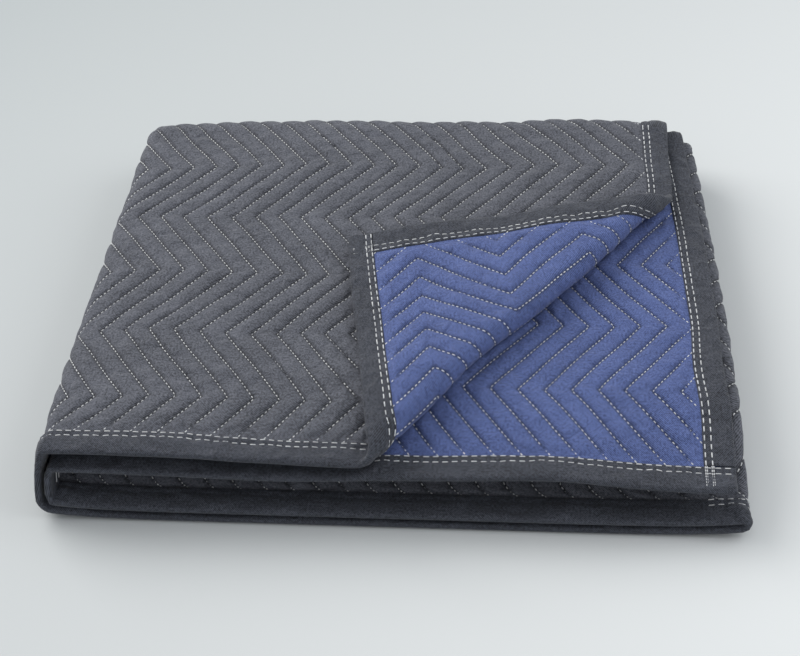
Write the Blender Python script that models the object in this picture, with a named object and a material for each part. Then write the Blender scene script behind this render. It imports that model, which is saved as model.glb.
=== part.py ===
"""Quilted moving blanket, folded into a low stack with its top front corner turned back.

The blanket is two cloth faces, black outside and blue inside, with a bound edge all round.
It is folded twice across its width, which gives four levels, and once over at the rear,
which gives an upper and a lower packet. Every solid is made on one folded surface:
a point of the cloth has a place across the width, a level in the packet and a distance
back from the front edge, and the functions below turn those into a place in space.
Metres, +Z up, origin at the middle of the footprint on the surface it rests on.
"""
import math

import bmesh
import bpy
import numpy as np

# Driving dimensions
DEPTH = 0.440
LAYER = 0.0052
LEVEL_PITCH = 0.0084
REAR_RADIUS = 0.0052
LEVELS = 3
FACE_GAP = 0.0003
BOUND_LAYER = 0.0022
TAPE_GAP = 0.0005
BINDING_WIDTH = 0.022
BINDING_TAPE = 0.001
BINDING_CORNER = 0.0016
PUFF_LENGTH = 0.009

# Places across the width
OUTER_TURN_X = -0.2424
INNER_TURN_X = -0.2400
RIGHT_TURN_X = 0.2500
TOP_EDGE_X = 0.2170
UNDER_EDGE_X = 0.2480

# The two lowest levels of the upper packet droop to the floor at the front
DROOP_FLAT = 0.022
DROOP_LENGTH = 0.050
FRONT_STEP = 0.007
LOWER_SETBACK = 0.068
CENTRE_SHIFT = 0.0043
CENTRE_SHIFT_X = -0.0040
CORNER_LIFT = 0.005
CORNER_LIFT_POWER = 8

# The open front edges of the two upper levels hang down, most at the right
FRONT_SAG_REACH = 0.090
FRONT_SAG_LEFT = 0.003
FRONT_SAG_RIGHT = 0.017

# Turned-back corner: its fold runs from the front edge to the right edge of the top level
FOLD_FRONT_X = -0.018
FOLD_RIGHT_RUN = 0.322
CURL_RADIUS_FRONT = 0.0075
CURL_RADIUS_RIGHT = 0.0100
FLAP_REST = 0.0085
FLAP_SETTLE = 0.070
FLAP_SHEAR = 0.25
FLAP_SHEAR_START = 0.020
FLAP_BILLOW = 0.017
FLAP_BILLOW_SKEW = 2.2

# Looseness of the whole stack
REAR_TAPER = 0.035
FLOOR_FLARE = 0.022
SAG = 0.0016
SAG_WAVES_X = 2.3
SAG_WAVES_Y = 1.6
SAG_PHASE = 0.6
RIGHT_TAPER = 0.0200
RIGHT_TAPER_POWER = 1.8
LEFT_TUCK = 0.0045
REAR_SLANT = 0.0060
REAR_ROUND = 0.0070
REAR_ROUND_START = 0.150
REAR_ROUND_REACH = 0.100
EDGE_HUMP = 0.0060
EDGE_HUMP_X = 0.125
EDGE_HUMP_WIDTH = 0.055
UNDER_SAG = 0.0100
UNDER_SAG_REACH = 0.060
UNDER_SAG_X = -0.100
UNDER_SAG_WIDTH = 0.160
TURN_SQUASH = 0.72

HALF = 0.5 * LAYER
HALF_BOUND = 0.5 * BOUND_LAYER
EDGE_INSET = BINDING_TAPE + TAPE_GAP
FRONT_Y = CENTRE_SHIFT - 0.5 * DEPTH
TURN_CENTRE_Y = FRONT_Y + DEPTH - REAR_RADIUS - LEVELS * LEVEL_PITCH - HALF
MIDDLE_Z = REAR_RADIUS + LEVELS * LEVEL_PITCH + HALF
HEIGHT = 2.0 * MIDDLE_Z
UPPER_RUN = TURN_CENTRE_Y - FRONT_Y
TURN_RUN = math.pi * REAR_RADIUS
LOWER_RUN = TURN_CENTRE_Y - (FRONT_Y + LOWER_SETBACK)
WHOLE_RUN = UPPER_RUN + TURN_RUN + LOWER_RUN

# Rows of the upper packet, as distances back from its front edge, close where the fold rolls
UPPER_ROWS = (0.031, 0.048, 0.072, 0.150, 0.225, 0.241, 0.255, 0.268, 0.280, 0.290, 0.299, 0.308, 0.324)
TURN_ROWS = 5
LOWER_ROWS = 2

# Stretches of the cloth from the top level's right edge to the under level's right edge
TOP_LEFT_STEPS = 2
CURL_STEPS = 5
EDGE_STEPS = 3
OUTER_TURN_STEPS = 5
SMALL_TURN_STEPS = 4
FLAT_STEPS = 2
UNDER_STEPS = 4

COLORS = {
    "black_cloth": (0.035, 0.040, 0.050, 1.0),
    "blue_cloth": (0.070, 0.100, 0.300, 1.0),
    "binding_tape": (0.020, 0.022, 0.027, 1.0),
}
CLOTH_ROUGHNESS = 0.92
FINITE_STEP = 1e-5
LEVEL_MARGIN = 0.001
SMALLEST_SPAN = 1e-9
SHARP_ANGLE_DEG = 50.0


def smooth(value):
    """Ease from 0 to 1."""
    share = min(max(value, 0.0), 1.0)
    return share * share * (3.0 - 2.0 * share)


def fold_frame():
    """Start, direction, outward normal and length of the turned-back corner's fold line."""
    start = np.array((FOLD_FRONT_X, FRONT_Y))
    end = np.array((TOP_EDGE_X, FRONT_Y + FOLD_RIGHT_RUN))
    length = float(np.linalg.norm(end - start))
    along = (end - start) / length
    outward = np.array((along[1], -along[0]))
    return start, along, outward, length


FOLD_START, FOLD_ALONG, FOLD_OUT, FOLD_LENGTH = fold_frame()


def curl_radius(along):
    """Radius of the rolled fold, which opens a little towards the right edge."""
    share = min(max(along / FOLD_LENGTH, 0.0), 1.0)
    return CURL_RADIUS_FRONT + share * (CURL_RADIUS_RIGHT - CURL_RADIUS_FRONT)


def turned_back(x, y):
    """Plan place and rise of a point of the top level, rolled over past the fold line."""
    offset = np.array((x, y)) - FOLD_START
    along = float(offset @ FOLD_ALONG)
    beyond = float(offset @ FOLD_OUT)
    if beyond <= 0.0:
        return x, y, 0.0
    radius = curl_radius(along)
    arc = math.pi * radius
    if beyond < arc:
        angle = beyond / radius
        place = FOLD_START + along * FOLD_ALONG + radius * math.sin(angle) * FOLD_OUT
        return place[0], place[1], radius * (1.0 - math.cos(angle))
    past = beyond - arc
    slide = FLAP_SHEAR * past * past / (past + FLAP_SHEAR_START)
    place = FOLD_START + (along + slide) * FOLD_ALONG - past * FOLD_OUT
    settle = smooth(past / FLAP_SETTLE)
    rise = 2.0 * radius + settle * (FLAP_REST - 2.0 * radius)
    middle = math.sin(math.pi * min(max((along + slide) / FOLD_LENGTH, 0.0), 1.0) ** FLAP_BILLOW_SKEW)
    rise += FLAP_BILLOW * settle * middle * (1.0 - 0.5 * settle)
    return place[0], place[1], rise


def packet_path(run):
    """Place and normal, in the plane of Y and Z, of the innermost level at a distance back."""
    if run <= UPPER_RUN:
        return (FRONT_Y + run, MIDDLE_Z + REAR_RADIUS), (0.0, 1.0)
    if run <= UPPER_RUN + TURN_RUN:
        angle = (run - UPPER_RUN) / REAR_RADIUS
        normal = (math.sin(angle), math.cos(angle))
        place = (TURN_CENTRE_Y + REAR_RADIUS * normal[0], MIDDLE_Z + REAR_RADIUS * normal[1])
        return place, normal
    forward = run - UPPER_RUN - TURN_RUN
    return (TURN_CENTRE_Y - forward, MIDDLE_Z - REAR_RADIUS), (0.0, -1.0)


def droop_path(run, x):
    """The same for the levels that droop: flat on the floor, then up an easy slope."""
    place, normal = packet_path(run)
    end = DROOP_FLAT + DROOP_LENGTH
    if run >= end:
        return place, normal
    floor_z = HALF + CORNER_LIFT * abs(x / RIGHT_TURN_X) ** CORNER_LIFT_POWER
    climb = MIDDLE_Z + REAR_RADIUS - floor_z
    share = (run - DROOP_FLAT) / DROOP_LENGTH
    z = floor_z + climb * smooth(share)
    step_forward = FRONT_STEP * (1.0 - smooth(run / end))
    slope = 0.0
    if share > 0.0:
        slope = climb * 6.0 * share * (1.0 - share) / DROOP_LENGTH
    tilt = math.hypot(1.0, slope)
    return (place[0] - step_forward, z), (-slope / tilt, 1.0 / tilt)


def front_sag(x, y):
    """How far the open front edges hang below their level."""
    near = smooth(1.0 - (y - FRONT_Y) / FRONT_SAG_REACH)
    across = smooth((x - OUTER_TURN_X) / (UNDER_EDGE_X - OUTER_TURN_X))
    return near * (FRONT_SAG_LEFT + across * (FRONT_SAG_RIGHT - FRONT_SAG_LEFT))


def under_level_edge(x, y, level):
    """How far the under level's front edge hangs below, or stands above, the rest of its level."""
    near = smooth(1.0 - (y - FRONT_Y) / UNDER_SAG_REACH)
    sag = UNDER_SAG * near * (1.0 - smooth((x - UNDER_SAG_X) / UNDER_SAG_WIDTH))
    near = smooth(1.0 - (y - FRONT_Y) / FRONT_SAG_REACH)
    hump = EDGE_HUMP * near * math.exp(-(((x - EDGE_HUMP_X) / EDGE_HUMP_WIDTH) ** 2))
    return (sag - hump) * smooth(level - 1.0) * smooth(LEVELS - level)


def loosen(x, y, z, level):
    """Narrow the stack towards the rear, slant and round its rear left, and let the top sag."""
    back = (y - FRONT_Y) / DEPTH
    kept = min(max(back, 0.0), 1.0)
    low = 1.0 - z / HEIGHT
    wide = (1.0 - REAR_TAPER * back) * (1.0 + FLOOR_FLARE * low)
    right = smooth(x / RIGHT_TURN_X) * smooth(LEVELS - level)
    left = smooth(-x / RIGHT_TURN_X)
    shift = LEFT_TUCK * left * (1.0 - kept) - RIGHT_TAPER * right * kept ** RIGHT_TAPER_POWER
    corner = min(max((-x - REAR_ROUND_START) / REAR_ROUND_REACH, 0.0), 1.0) ** 2
    slant = REAR_SLANT * (RIGHT_TURN_X - x) / (2.0 * RIGHT_TURN_X) + REAR_ROUND * corner
    across_wave = math.sin(SAG_WAVES_X * math.pi * x / RIGHT_TURN_X + SAG_PHASE)
    wave = across_wave * math.sin(SAG_WAVES_Y * math.pi * back)
    lift = SAG * wave * smooth((z - MIDDLE_Z) / MIDDLE_Z)
    return np.array((x * wide + shift + CENTRE_SHIFT_X, y - slant * kept, z + lift))


def middle_surface(x, level, run):
    """Place in space of the middle of the cloth."""
    upper, upper_normal = packet_path(run)
    depth = level * LEVEL_PITCH
    upper_y = upper[0] + depth * upper_normal[0]
    upper_z = upper[1] + depth * upper_normal[1]
    lower, lower_normal = droop_path(run, x)
    lower_y = lower[0] + depth * lower_normal[0]
    lower_z = lower[1] + depth * lower_normal[1]
    droop = 1.0 - smooth(level - 1.0)
    y = upper_y + droop * (lower_y - upper_y)
    z = upper_z + droop * (lower_z - upper_z)
    if level > LEVELS - LEVEL_MARGIN and run < UPPER_RUN:
        x, y, rise = turned_back(x, y)
        z += rise
    if run < UPPER_RUN:
        climbed = smooth((run - DROOP_FLAT) / DROOP_LENGTH)
        z -= front_sag(x, y) * (1.0 - droop + droop * climbed)
        z -= under_level_edge(x, y, level)
    return loosen(x, y, z, level)


def turn_station(centre_x, centre_level, radius_levels, angle, side):
    """One station of a turn at the side: place across the width, and level."""
    squash = TURN_SQUASH if radius_levels > 1.0 else 1.0
    x = centre_x + side * squash * radius_levels * LEVEL_PITCH * math.sin(angle)
    return x, centre_level + radius_levels * math.cos(angle)


def top_level_x(share_index, run):
    """Places across the width on the top level; columns follow the rolled fold line."""
    y = FRONT_Y + min(run, UPPER_RUN)
    line_x = FOLD_START[0] + (y - FOLD_START[1]) * FOLD_ALONG[0] / FOLD_ALONG[1]
    puffed_x = TOP_EDGE_X - BINDING_WIDTH - PUFF_LENGTH
    curl_width = math.pi * curl_radius((y - FRONT_Y) / FOLD_ALONG[1]) / FOLD_OUT[0]
    curl_start = min(line_x, puffed_x - curl_width)
    edge_count = EDGE_STEPS + 1
    if share_index < edge_count:
        inward = BINDING_WIDTH * share_index / EDGE_STEPS
        return TOP_EDGE_X - max(inward, EDGE_INSET)
    index = share_index - edge_count
    if index == 0:
        return puffed_x
    index -= 1
    if index <= CURL_STEPS:
        return curl_start + curl_width * (1.0 - index / CURL_STEPS)
    index -= CURL_STEPS
    return curl_start + (OUTER_TURN_X - curl_start) * index / TOP_LEFT_STEPS


TOP_COLUMNS = EDGE_STEPS + 1 + 1 + CURL_STEPS + 1 + TOP_LEFT_STEPS


def turn_columns(centre_x, centre_level, radius_levels, first, last, steps, side):
    """Columns of a turn at the side, its two ends left to the flat stretches."""
    columns = []
    for index in range(1, steps):
        angle = first + (last - first) * index / steps
        columns.append(turn_station(centre_x, centre_level, radius_levels, angle, side))
    return columns


def flat_columns(start_x, end_x, level, steps):
    """Evenly spaced columns of a flat stretch, both ends kept."""
    return [(start_x + (end_x - start_x) * index / steps, level) for index in range(steps + 1)]


def lower_columns():
    """Columns after the top level, down the outer turn and back to the under level's edge."""
    columns = turn_columns(OUTER_TURN_X, 1.5, 1.5, 0.0, math.pi, OUTER_TURN_STEPS, -1.0)
    columns += flat_columns(OUTER_TURN_X, RIGHT_TURN_X, 0.0, FLAT_STEPS)
    columns += turn_columns(RIGHT_TURN_X, 0.5, 0.5, math.pi, 0.0, SMALL_TURN_STEPS, 1.0)
    columns += flat_columns(RIGHT_TURN_X, INNER_TURN_X, 1.0, FLAT_STEPS)
    columns += turn_columns(INNER_TURN_X, 1.5, 0.5, math.pi, 0.0, SMALL_TURN_STEPS, -1.0)
    columns += flat_columns(INNER_TURN_X, UNDER_EDGE_X - BINDING_WIDTH - PUFF_LENGTH, 2.0, UNDER_STEPS)
    columns.append((UNDER_EDGE_X - BINDING_WIDTH, 2.0))
    columns.append((UNDER_EDGE_X - EDGE_INSET, 2.0))
    return columns


LOWER_COLUMNS = lower_columns()
COLUMN_COUNT = TOP_COLUMNS + len(LOWER_COLUMNS)


def column_place(column, run):
    """Place across the width and level of a numbered column."""
    if column < TOP_COLUMNS:
        return top_level_x(column, run), float(LEVELS)
    return LOWER_COLUMNS[column - TOP_COLUMNS]


def row_runs():
    """Distances back of the rows of both faces, from the front edge to the hidden end."""
    rows = [EDGE_INSET, BINDING_WIDTH]
    rows += list(UPPER_ROWS)
    rows += [UPPER_RUN + TURN_RUN * index / TURN_ROWS for index in range(TURN_ROWS + 1)]
    start = UPPER_RUN + TURN_RUN
    end = WHOLE_RUN - BINDING_WIDTH - PUFF_LENGTH
    rows += [start + (end - start) * (index + 1) / LOWER_ROWS for index in range(LOWER_ROWS)]
    rows += [WHOLE_RUN - BINDING_WIDTH, WHOLE_RUN - EDGE_INSET]
    return rows


ROWS = row_runs()


def place_and_normal(x, level, run, x_step, level_step):
    """Middle of the cloth and the side of its black face there."""
    here = middle_surface(x, level, run)
    ahead = middle_surface(x + x_step, level + level_step, run)
    behind = middle_surface(x - x_step, level - level_step, run)
    back = middle_surface(x, level, run + FINITE_STEP)
    front = middle_surface(x, level, run - FINITE_STEP)
    normal = np.cross(back - front, ahead - behind)
    return here, normal / np.linalg.norm(normal)


def direction_along(column, run):
    """Small step along the cloth's width at a numbered column."""
    x, level = column_place(column, run)
    if column < TOP_COLUMNS - 1:
        return -FINITE_STEP, 0.0
    before = column_place(max(column - 1, 0), run)
    after = column_place(min(column + 1, COLUMN_COUNT - 1), run)
    spans = (
        (x - before[0], (level - before[1]) * LEVEL_PITCH),
        (after[0] - x, (after[1] - level) * LEVEL_PITCH),
    )
    flat = [span for span in spans if abs(span[1]) < SMALLEST_SPAN and abs(span[0]) > 0.0]
    if flat:
        return math.copysign(FINITE_STEP, flat[0][0]), 0.0
    centre_x, centre_level = turn_centre(column)
    across = x - centre_x
    up = (level - centre_level) * LEVEL_PITCH
    radius = math.hypot(across, up)
    tangent = np.array((-up, across)) / radius
    if tangent @ np.array((spans[1][0], spans[1][1])) < 0.0:
        tangent = -tangent
    return FINITE_STEP * tangent[0], FINITE_STEP * tangent[1] / LEVEL_PITCH


def turn_centre(column):
    """Centre of the side turn that a numbered column belongs to."""
    index = column - TOP_COLUMNS
    if index < OUTER_TURN_STEPS - 1:
        return OUTER_TURN_X, 1.5
    if index < OUTER_TURN_STEPS + FLAT_STEPS + SMALL_TURN_STEPS:
        return RIGHT_TURN_X, 0.5
    return INNER_TURN_X, 1.5


def cloth_point(column, run, offset):
    """Point of the cloth at a numbered column, moved towards the black side."""
    x, level = column_place(column, run)
    x_step, level_step = direction_along(column, run)
    here, normal = place_and_normal(x, level, run, x_step, level_step)
    return here + offset * normal


def is_bound(column, run):
    """Whether the cloth lies squeezed in a binding here."""
    in_front = run < BINDING_WIDTH + FINITE_STEP
    in_end = run > WHOLE_RUN - BINDING_WIDTH - FINITE_STEP
    in_top_edge = column <= EDGE_STEPS
    in_under_edge = column >= COLUMN_COUNT - 2
    return in_front or in_end or in_top_edge or in_under_edge


def finish_object(name, bm, material, collection):
    """Close the mesh's normals, shade it and put it in the blanket's collection."""
    bmesh.ops.recalc_face_normals(bm, faces=bm.faces[:])
    mesh = bpy.data.meshes.new(name)
    bm.to_mesh(mesh)
    bm.free()
    mesh.shade_smooth()
    mesh.set_sharp_from_angle(angle=math.radians(SHARP_ANGLE_DEG))
    mesh.materials.append(material)
    obj = bpy.data.objects.new(name, mesh)
    collection.objects.link(obj)
    return obj


def loft(name, rings, falling, caps, material, collection):
    """Closed solid through equal rings of points; caps lists the faces of an end ring.

    Each cell is split along the diagonal that its neighbours on the other pieces use, so that
    parallel faces stay parallel; falling says at which ring places it runs the other way.
    """
    bm = bmesh.new()
    loops = [[bm.verts.new(point) for point in ring] for ring in rings]
    count = len(loops[0])
    for first, second in zip(loops, loops[1:]):
        for index in range(count):
            after = (index + 1) % count
            if falling[index]:
                bm.faces.new((first[index], first[after], second[index]))
                bm.faces.new((first[after], second[after], second[index]))
            else:
                bm.faces.new((first[index], first[after], second[after]))
                bm.faces.new((first[index], second[after], second[index]))
    for loop in (loops[0], loops[-1]):
        for cap in caps:
            bm.faces.new([loop[index] for index in cap])
    return finish_object(name, bm, material, collection)


def make_face(name, side, material, collection):
    """One cloth face: the half of the layer on the given side of its middle."""
    rings = []
    for run in ROWS:
        outer = []
        inner = []
        for column in range(COLUMN_COUNT):
            half = HALF_BOUND if is_bound(column, run) else HALF
            outer.append(cloth_point(column, run, side * half))
            inner.append(cloth_point(column, run, side * 0.5 * FACE_GAP))
        rings.append(outer + inner[::-1])
    last = 2 * COLUMN_COUNT - 1
    caps = [(i, i + 1, last - i - 1, last - i) for i in range(COLUMN_COUNT - 1)]
    falling = [False] * COLUMN_COUNT + [True] * COLUMN_COUNT
    return loft(name, rings, falling, caps, material, collection)


def tape_section(stations):
    """U of binding tape as (distance in from the edge, offset from the middle) pairs."""
    inner = HALF_BOUND + TAPE_GAP
    outer = inner + BINDING_TAPE
    top = [(distance, outer) for distance in stations]
    nose = [(0.0, outer - BINDING_CORNER), (0.0, BINDING_CORNER - outer)]
    under = [(distance, -outer) for distance in reversed(stations)]
    hollow = [max(distance, BINDING_TAPE) for distance in stations]
    hollow[-1] = BINDING_TAPE
    inside_under = [(distance, -inner) for distance in hollow]
    inside_top = [(distance, inner) for distance in reversed(hollow)]
    return top + nose + under + inside_under + inside_top


def falling_places(section, mirrored):
    """Ring places where the distance in from the edge falls, or rises if mirrored."""
    following = section[1:] + section[:1]
    return [(after[0] < here[0]) != mirrored for here, after in zip(section, following)]


def make_cross_binding(name, at_front, material, collection):
    """Binding along the front edge or the hidden end, round every turn of the packet."""
    section = tape_section([BINDING_WIDTH, BINDING_CORNER])
    rings = []
    for column in range(-1, COLUMN_COUNT + 1):
        ring = []
        for distance, offset in section:
            run = distance if at_front else WHOLE_RUN - distance
            ring.append(edge_safe_point(column, run, offset))
        rings.append(ring)
    falling = falling_places(section, not at_front)
    return loft(name, rings, falling, [tuple(range(len(section)))], material, collection)


def edge_safe_point(column, run, offset):
    """Cloth point where the column may also be one of the two raw side edges."""
    if column < 0:
        here, normal = place_and_normal(TOP_EDGE_X, float(LEVELS), run, -FINITE_STEP, 0.0)
        return here + offset * normal
    if column >= COLUMN_COUNT:
        here, normal = place_and_normal(UNDER_EDGE_X, 2.0, run, FINITE_STEP, 0.0)
        return here + offset * normal
    return cloth_point(column, run, offset)


def side_rows():
    """Rows of the two side bindings, which butt against the cross bindings."""
    rows = [run for run in ROWS if BINDING_WIDTH < run < WHOLE_RUN - BINDING_WIDTH]
    start = BINDING_WIDTH + FACE_GAP
    return [start] + rows + [WHOLE_RUN - start]


def make_side_binding(name, edge_x, level, inward, stations, material, collection):
    """Binding along the side edge of the top or the under level, front to hidden end."""
    section = tape_section(stations)
    rings = []
    for run in side_rows():
        ring = []
        for distance, offset in section:
            x = edge_x - distance
            here, normal = place_and_normal(x, level, run, inward * FINITE_STEP, 0.0)
            ring.append(here + offset * normal)
        rings.append(ring)
    falling = falling_places(section, inward > 0.0)
    return loft(name, rings, falling, [tuple(range(len(section)))], material, collection)


def make_material(name):
    """Matt cloth in its own colour."""
    material = bpy.data.materials.new(name)
    material.use_nodes = True
    shader = material.node_tree.nodes["Principled BSDF"]
    shader.inputs["Base Color"].default_value = COLORS[name]
    shader.inputs["Roughness"].default_value = CLOTH_ROUGHNESS
    shader.inputs["Metallic"].default_value = 0.0
    return material


def main():
    for old in list(bpy.data.objects):
        bpy.data.objects.remove(old, do_unlink=True)
    collection = bpy.data.collections.new("moving_blanket")
    bpy.context.scene.collection.children.link(collection)
    black = make_material("black_cloth")
    blue = make_material("blue_cloth")
    tape = make_material("binding_tape")
    make_face("panel_black", 1.0, black, collection)
    make_face("panel_blue", -1.0, blue, collection)
    make_cross_binding("binding_front", True, tape, collection)
    make_cross_binding("binding_end", False, tape, collection)
    top_stations = [BINDING_WIDTH * (EDGE_STEPS - index) / EDGE_STEPS for index in range(EDGE_STEPS)]
    top_stations.append(BINDING_CORNER)
    make_side_binding("binding_top_side", TOP_EDGE_X, float(LEVELS), -1.0, top_stations, tape, collection)
    under_stations = [BINDING_WIDTH, BINDING_CORNER]
    make_side_binding("binding_under_side", UNDER_EDGE_X, 2.0, 1.0, under_stations, tape, collection)


main()
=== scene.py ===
"""Looks of the folded moving blanket: quilted faces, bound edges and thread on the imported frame.

Every cloth point has a material place: how far it is along the cloth's width from the top
level's side edge, and how far back from its front edge. The functions below fold that place
into the stack as the frame's solids are folded, add small crumples, and lay the quilting on it.
"""
import math

import bmesh
import bpy
import numpy as np
from mathutils import Euler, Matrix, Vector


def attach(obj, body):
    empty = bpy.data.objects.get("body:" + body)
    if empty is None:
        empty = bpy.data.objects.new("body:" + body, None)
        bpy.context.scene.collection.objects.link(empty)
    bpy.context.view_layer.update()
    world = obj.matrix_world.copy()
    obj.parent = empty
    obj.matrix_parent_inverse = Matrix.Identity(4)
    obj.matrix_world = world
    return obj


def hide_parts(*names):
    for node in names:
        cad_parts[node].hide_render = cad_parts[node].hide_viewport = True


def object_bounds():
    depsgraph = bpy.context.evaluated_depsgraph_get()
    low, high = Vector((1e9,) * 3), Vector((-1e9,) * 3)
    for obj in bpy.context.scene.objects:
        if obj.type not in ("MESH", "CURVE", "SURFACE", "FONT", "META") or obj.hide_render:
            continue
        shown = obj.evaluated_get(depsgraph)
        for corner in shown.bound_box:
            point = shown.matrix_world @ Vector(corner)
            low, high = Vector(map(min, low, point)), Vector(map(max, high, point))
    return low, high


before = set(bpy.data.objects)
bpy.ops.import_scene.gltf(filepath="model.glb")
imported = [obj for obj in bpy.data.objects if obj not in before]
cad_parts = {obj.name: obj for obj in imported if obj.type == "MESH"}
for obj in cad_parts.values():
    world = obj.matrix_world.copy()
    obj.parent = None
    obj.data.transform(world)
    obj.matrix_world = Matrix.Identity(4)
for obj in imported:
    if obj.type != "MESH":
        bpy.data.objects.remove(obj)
cad_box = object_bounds()

# Folded stack, the same sizes as the frame's solids, metres
DEPTH = 0.440
LAYER = 0.0052
LEVEL_PITCH = 0.0084
REAR_RADIUS = 0.0052
LEVELS = 3
OUTER_TURN_X = -0.2424
INNER_TURN_X = -0.2400
RIGHT_TURN_X = 0.2500
TOP_EDGE_X = 0.2170
UNDER_EDGE_X = 0.2480
DROOP_FLAT = 0.022
DROOP_LENGTH = 0.050
FRONT_STEP = 0.007
LOWER_SETBACK = 0.068
CENTRE_SHIFT = 0.0043
CENTRE_SHIFT_X = -0.0040
CORNER_LIFT = 0.005
CORNER_LIFT_POWER = 8
FRONT_SAG_REACH = 0.090
FRONT_SAG_LEFT = 0.003
FRONT_SAG_RIGHT = 0.017
FOLD_FRONT_X = -0.018
FOLD_RIGHT_RUN = 0.322
CURL_RADIUS_FRONT = 0.0075
CURL_RADIUS_RIGHT = 0.0100
FLAP_REST = 0.0085
FLAP_SETTLE = 0.070
FLAP_SHEAR = 0.25
FLAP_SHEAR_START = 0.020
FLAP_BILLOW = 0.017
FLAP_BILLOW_SKEW = 2.2
REAR_TAPER = 0.035
FLOOR_FLARE = 0.022
SAG = 0.0016
SAG_WAVES_X = 2.3
SAG_WAVES_Y = 1.6
SAG_PHASE = 0.6
RIGHT_TAPER = 0.0200
RIGHT_TAPER_POWER = 1.8
LEFT_TUCK = 0.0045
REAR_SLANT = 0.0060
REAR_ROUND = 0.0070
REAR_ROUND_START = 0.150
REAR_ROUND_REACH = 0.100
EDGE_HUMP = 0.0060
EDGE_HUMP_X = 0.125
EDGE_HUMP_WIDTH = 0.055
UNDER_SAG = 0.0100
UNDER_SAG_REACH = 0.060
UNDER_SAG_X = -0.100
UNDER_SAG_WIDTH = 0.160
TURN_SQUASH = 0.72
FLAP_BILLOW_FADE = 0.5
FLAT_SHARES = (0.0, 0.002, 0.5, 0.998, 1.0)
TURN_STEPS = 48
LEVEL_MARGIN = 0.001

# Crumples of the settled stack: sizes along x and y, and the noise's seed
CRUMPLE_BROAD = (0.055, 0.040, 3)
CRUMPLE_FINE = (0.025, 0.030, 5)
CRUMPLE_FINE_SHARE = 0.5
WANDER_ALONG_X = (0.046, 0.052, 7)
WANDER_ALONG_Y = (0.038, 0.049, 13)

HALF = 0.5 * LAYER
FRONT_Y = CENTRE_SHIFT - 0.5 * DEPTH
TURN_CENTRE_Y = FRONT_Y + DEPTH - REAR_RADIUS - LEVELS * LEVEL_PITCH - HALF
MIDDLE_Z = REAR_RADIUS + LEVELS * LEVEL_PITCH + HALF
HEIGHT = 2.0 * MIDDLE_Z
UPPER_RUN = TURN_CENTRE_Y - FRONT_Y
TURN_RUN = math.pi * REAR_RADIUS
WHOLE_RUN = UPPER_RUN + TURN_RUN + TURN_CENTRE_Y - (FRONT_Y + LOWER_SETBACK)

# Quilting
LINE_PITCH = 0.0200
LINE_SWING = 0.0540
ROW_PITCH = 0.0733
COLUMN_STEP = 0.1 * LINE_PITCH
ROW_STEP = ROW_PITCH * COLUMN_STEP / LINE_SWING
FIRST_ROW = 0.0587
FIRST_LINE = 0.0163
UNDER_LINE_SHIFT = 3.0
CHANNEL_LOW = 0.0009
CHANNEL_HIGH = 0.0035
CHANNEL_FULLNESS = 0.50
ROLL_TIGHTNESS = 0.7
TURN_TIGHTNESS = 0.6
PUCKER = 0.00085
CRUMPLE = 0.0011
WANDER = 0.0018
STITCH_PITCH = 0.0040
STITCH_LENGTH = 0.0031
STITCH_RADIUS = 0.00046
STITCH_STAGGER = 0.31
STITCH_STAGGER_TURN = 2.4
STITCH_SOLVES = 8
STITCH_JUMP = 0.01
LINES_BEFORE = 4
LEVEL_ROW_SHIFT = 19.0
UNDER_ROW_SHIFT = 9.0
ROW_SHIFT_MARGIN = 0.05
UNDER_SHIFT_REACH = 0.12
PUFF_START = 0.001
ROLL_REACH = 2.2
TURN_REACH = 0.010
CORNER_SHARPNESS = 6.0
CORNER_PUCKER = 0.3
CREASE_FLOOR = 1e-9
EDGE_SHARE = 0.3

# Puckers of the quilting: size along the channel, spread over the channels, and the noise's seed
PUCKER_BROAD = (0.0085, (3.7, 0.8, 9.0), 11)
PUCKER_FINE = (0.0052, (5.1, 1.6, 4.0), 17)
PUCKER_FINE_SHARE = 0.7

# Binding tape
TAPE_WIDTH = 0.022
TAPE_HALF = 0.0026
TAPE_THICKNESS = 0.0009
CLOTH_IN_TAPE = 0.0011
EDGE_INSET = 0.0016
PUFF_LENGTH = 0.010
TAPE_ROWS = (0.0206, 0.0160)
TAPE_STITCH_PITCH = 0.0068
TAPE_STITCH_LENGTH = 0.0050
TAPE_STITCH_RADIUS = 0.00046
TAPE_WRINKLE = 0.00120
TAPE_DIP = 0.0005
TAPE_GROOVE = 0.00045
TAPE_GROOVE_WIDTH = 0.0009
TAPE_CROWN = 0.0004
TAPE_CROWN_START = 0.002
TAPE_CROWN_REACH = 0.004
TAPE_EDGE_REACH = 0.0009
TAPE_EDGE_DEPTH = 0.0011
TAPE_CLOSING = 0.002
TAPE_SIDE_SHIFT = 0.37
TAPE_ROW_START = 0.002
TAPE_ROW_END = 0.006
TAPE_GAP = 0.0002
TACK_SHIFT = 0.0006
TACK_START = 0.004
TACK_END = 0.001
TACK_PITCH = 0.0026
TACK_LENGTH = 0.0021
PLAIN_MARGIN = 0.02

# Wrinkles of the tape: size along it, slant, size across it, and the noise's seed
WRINKLE_FINE = (0.0046, 0.021, 0.016, 23)
WRINKLE_BROAD = (0.013, -0.013, 0.012, 29)
WRINKLE_FINE_SHARE = 0.9
WRINKLE_BROAD_SHARE = 1.3
WRINKLE_START = 0.006
WRINKLE_END = 0.003

# Thread beads, as shares of their radius and of their length
BEAD_SIDES = 4
BEAD_SINK = 1.4
BEAD_RISE = 0.55
QUILTING_BEAD = (0.25, 0.75)
BINDING_BEAD = (0.15, 0.5, 0.85)

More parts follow.
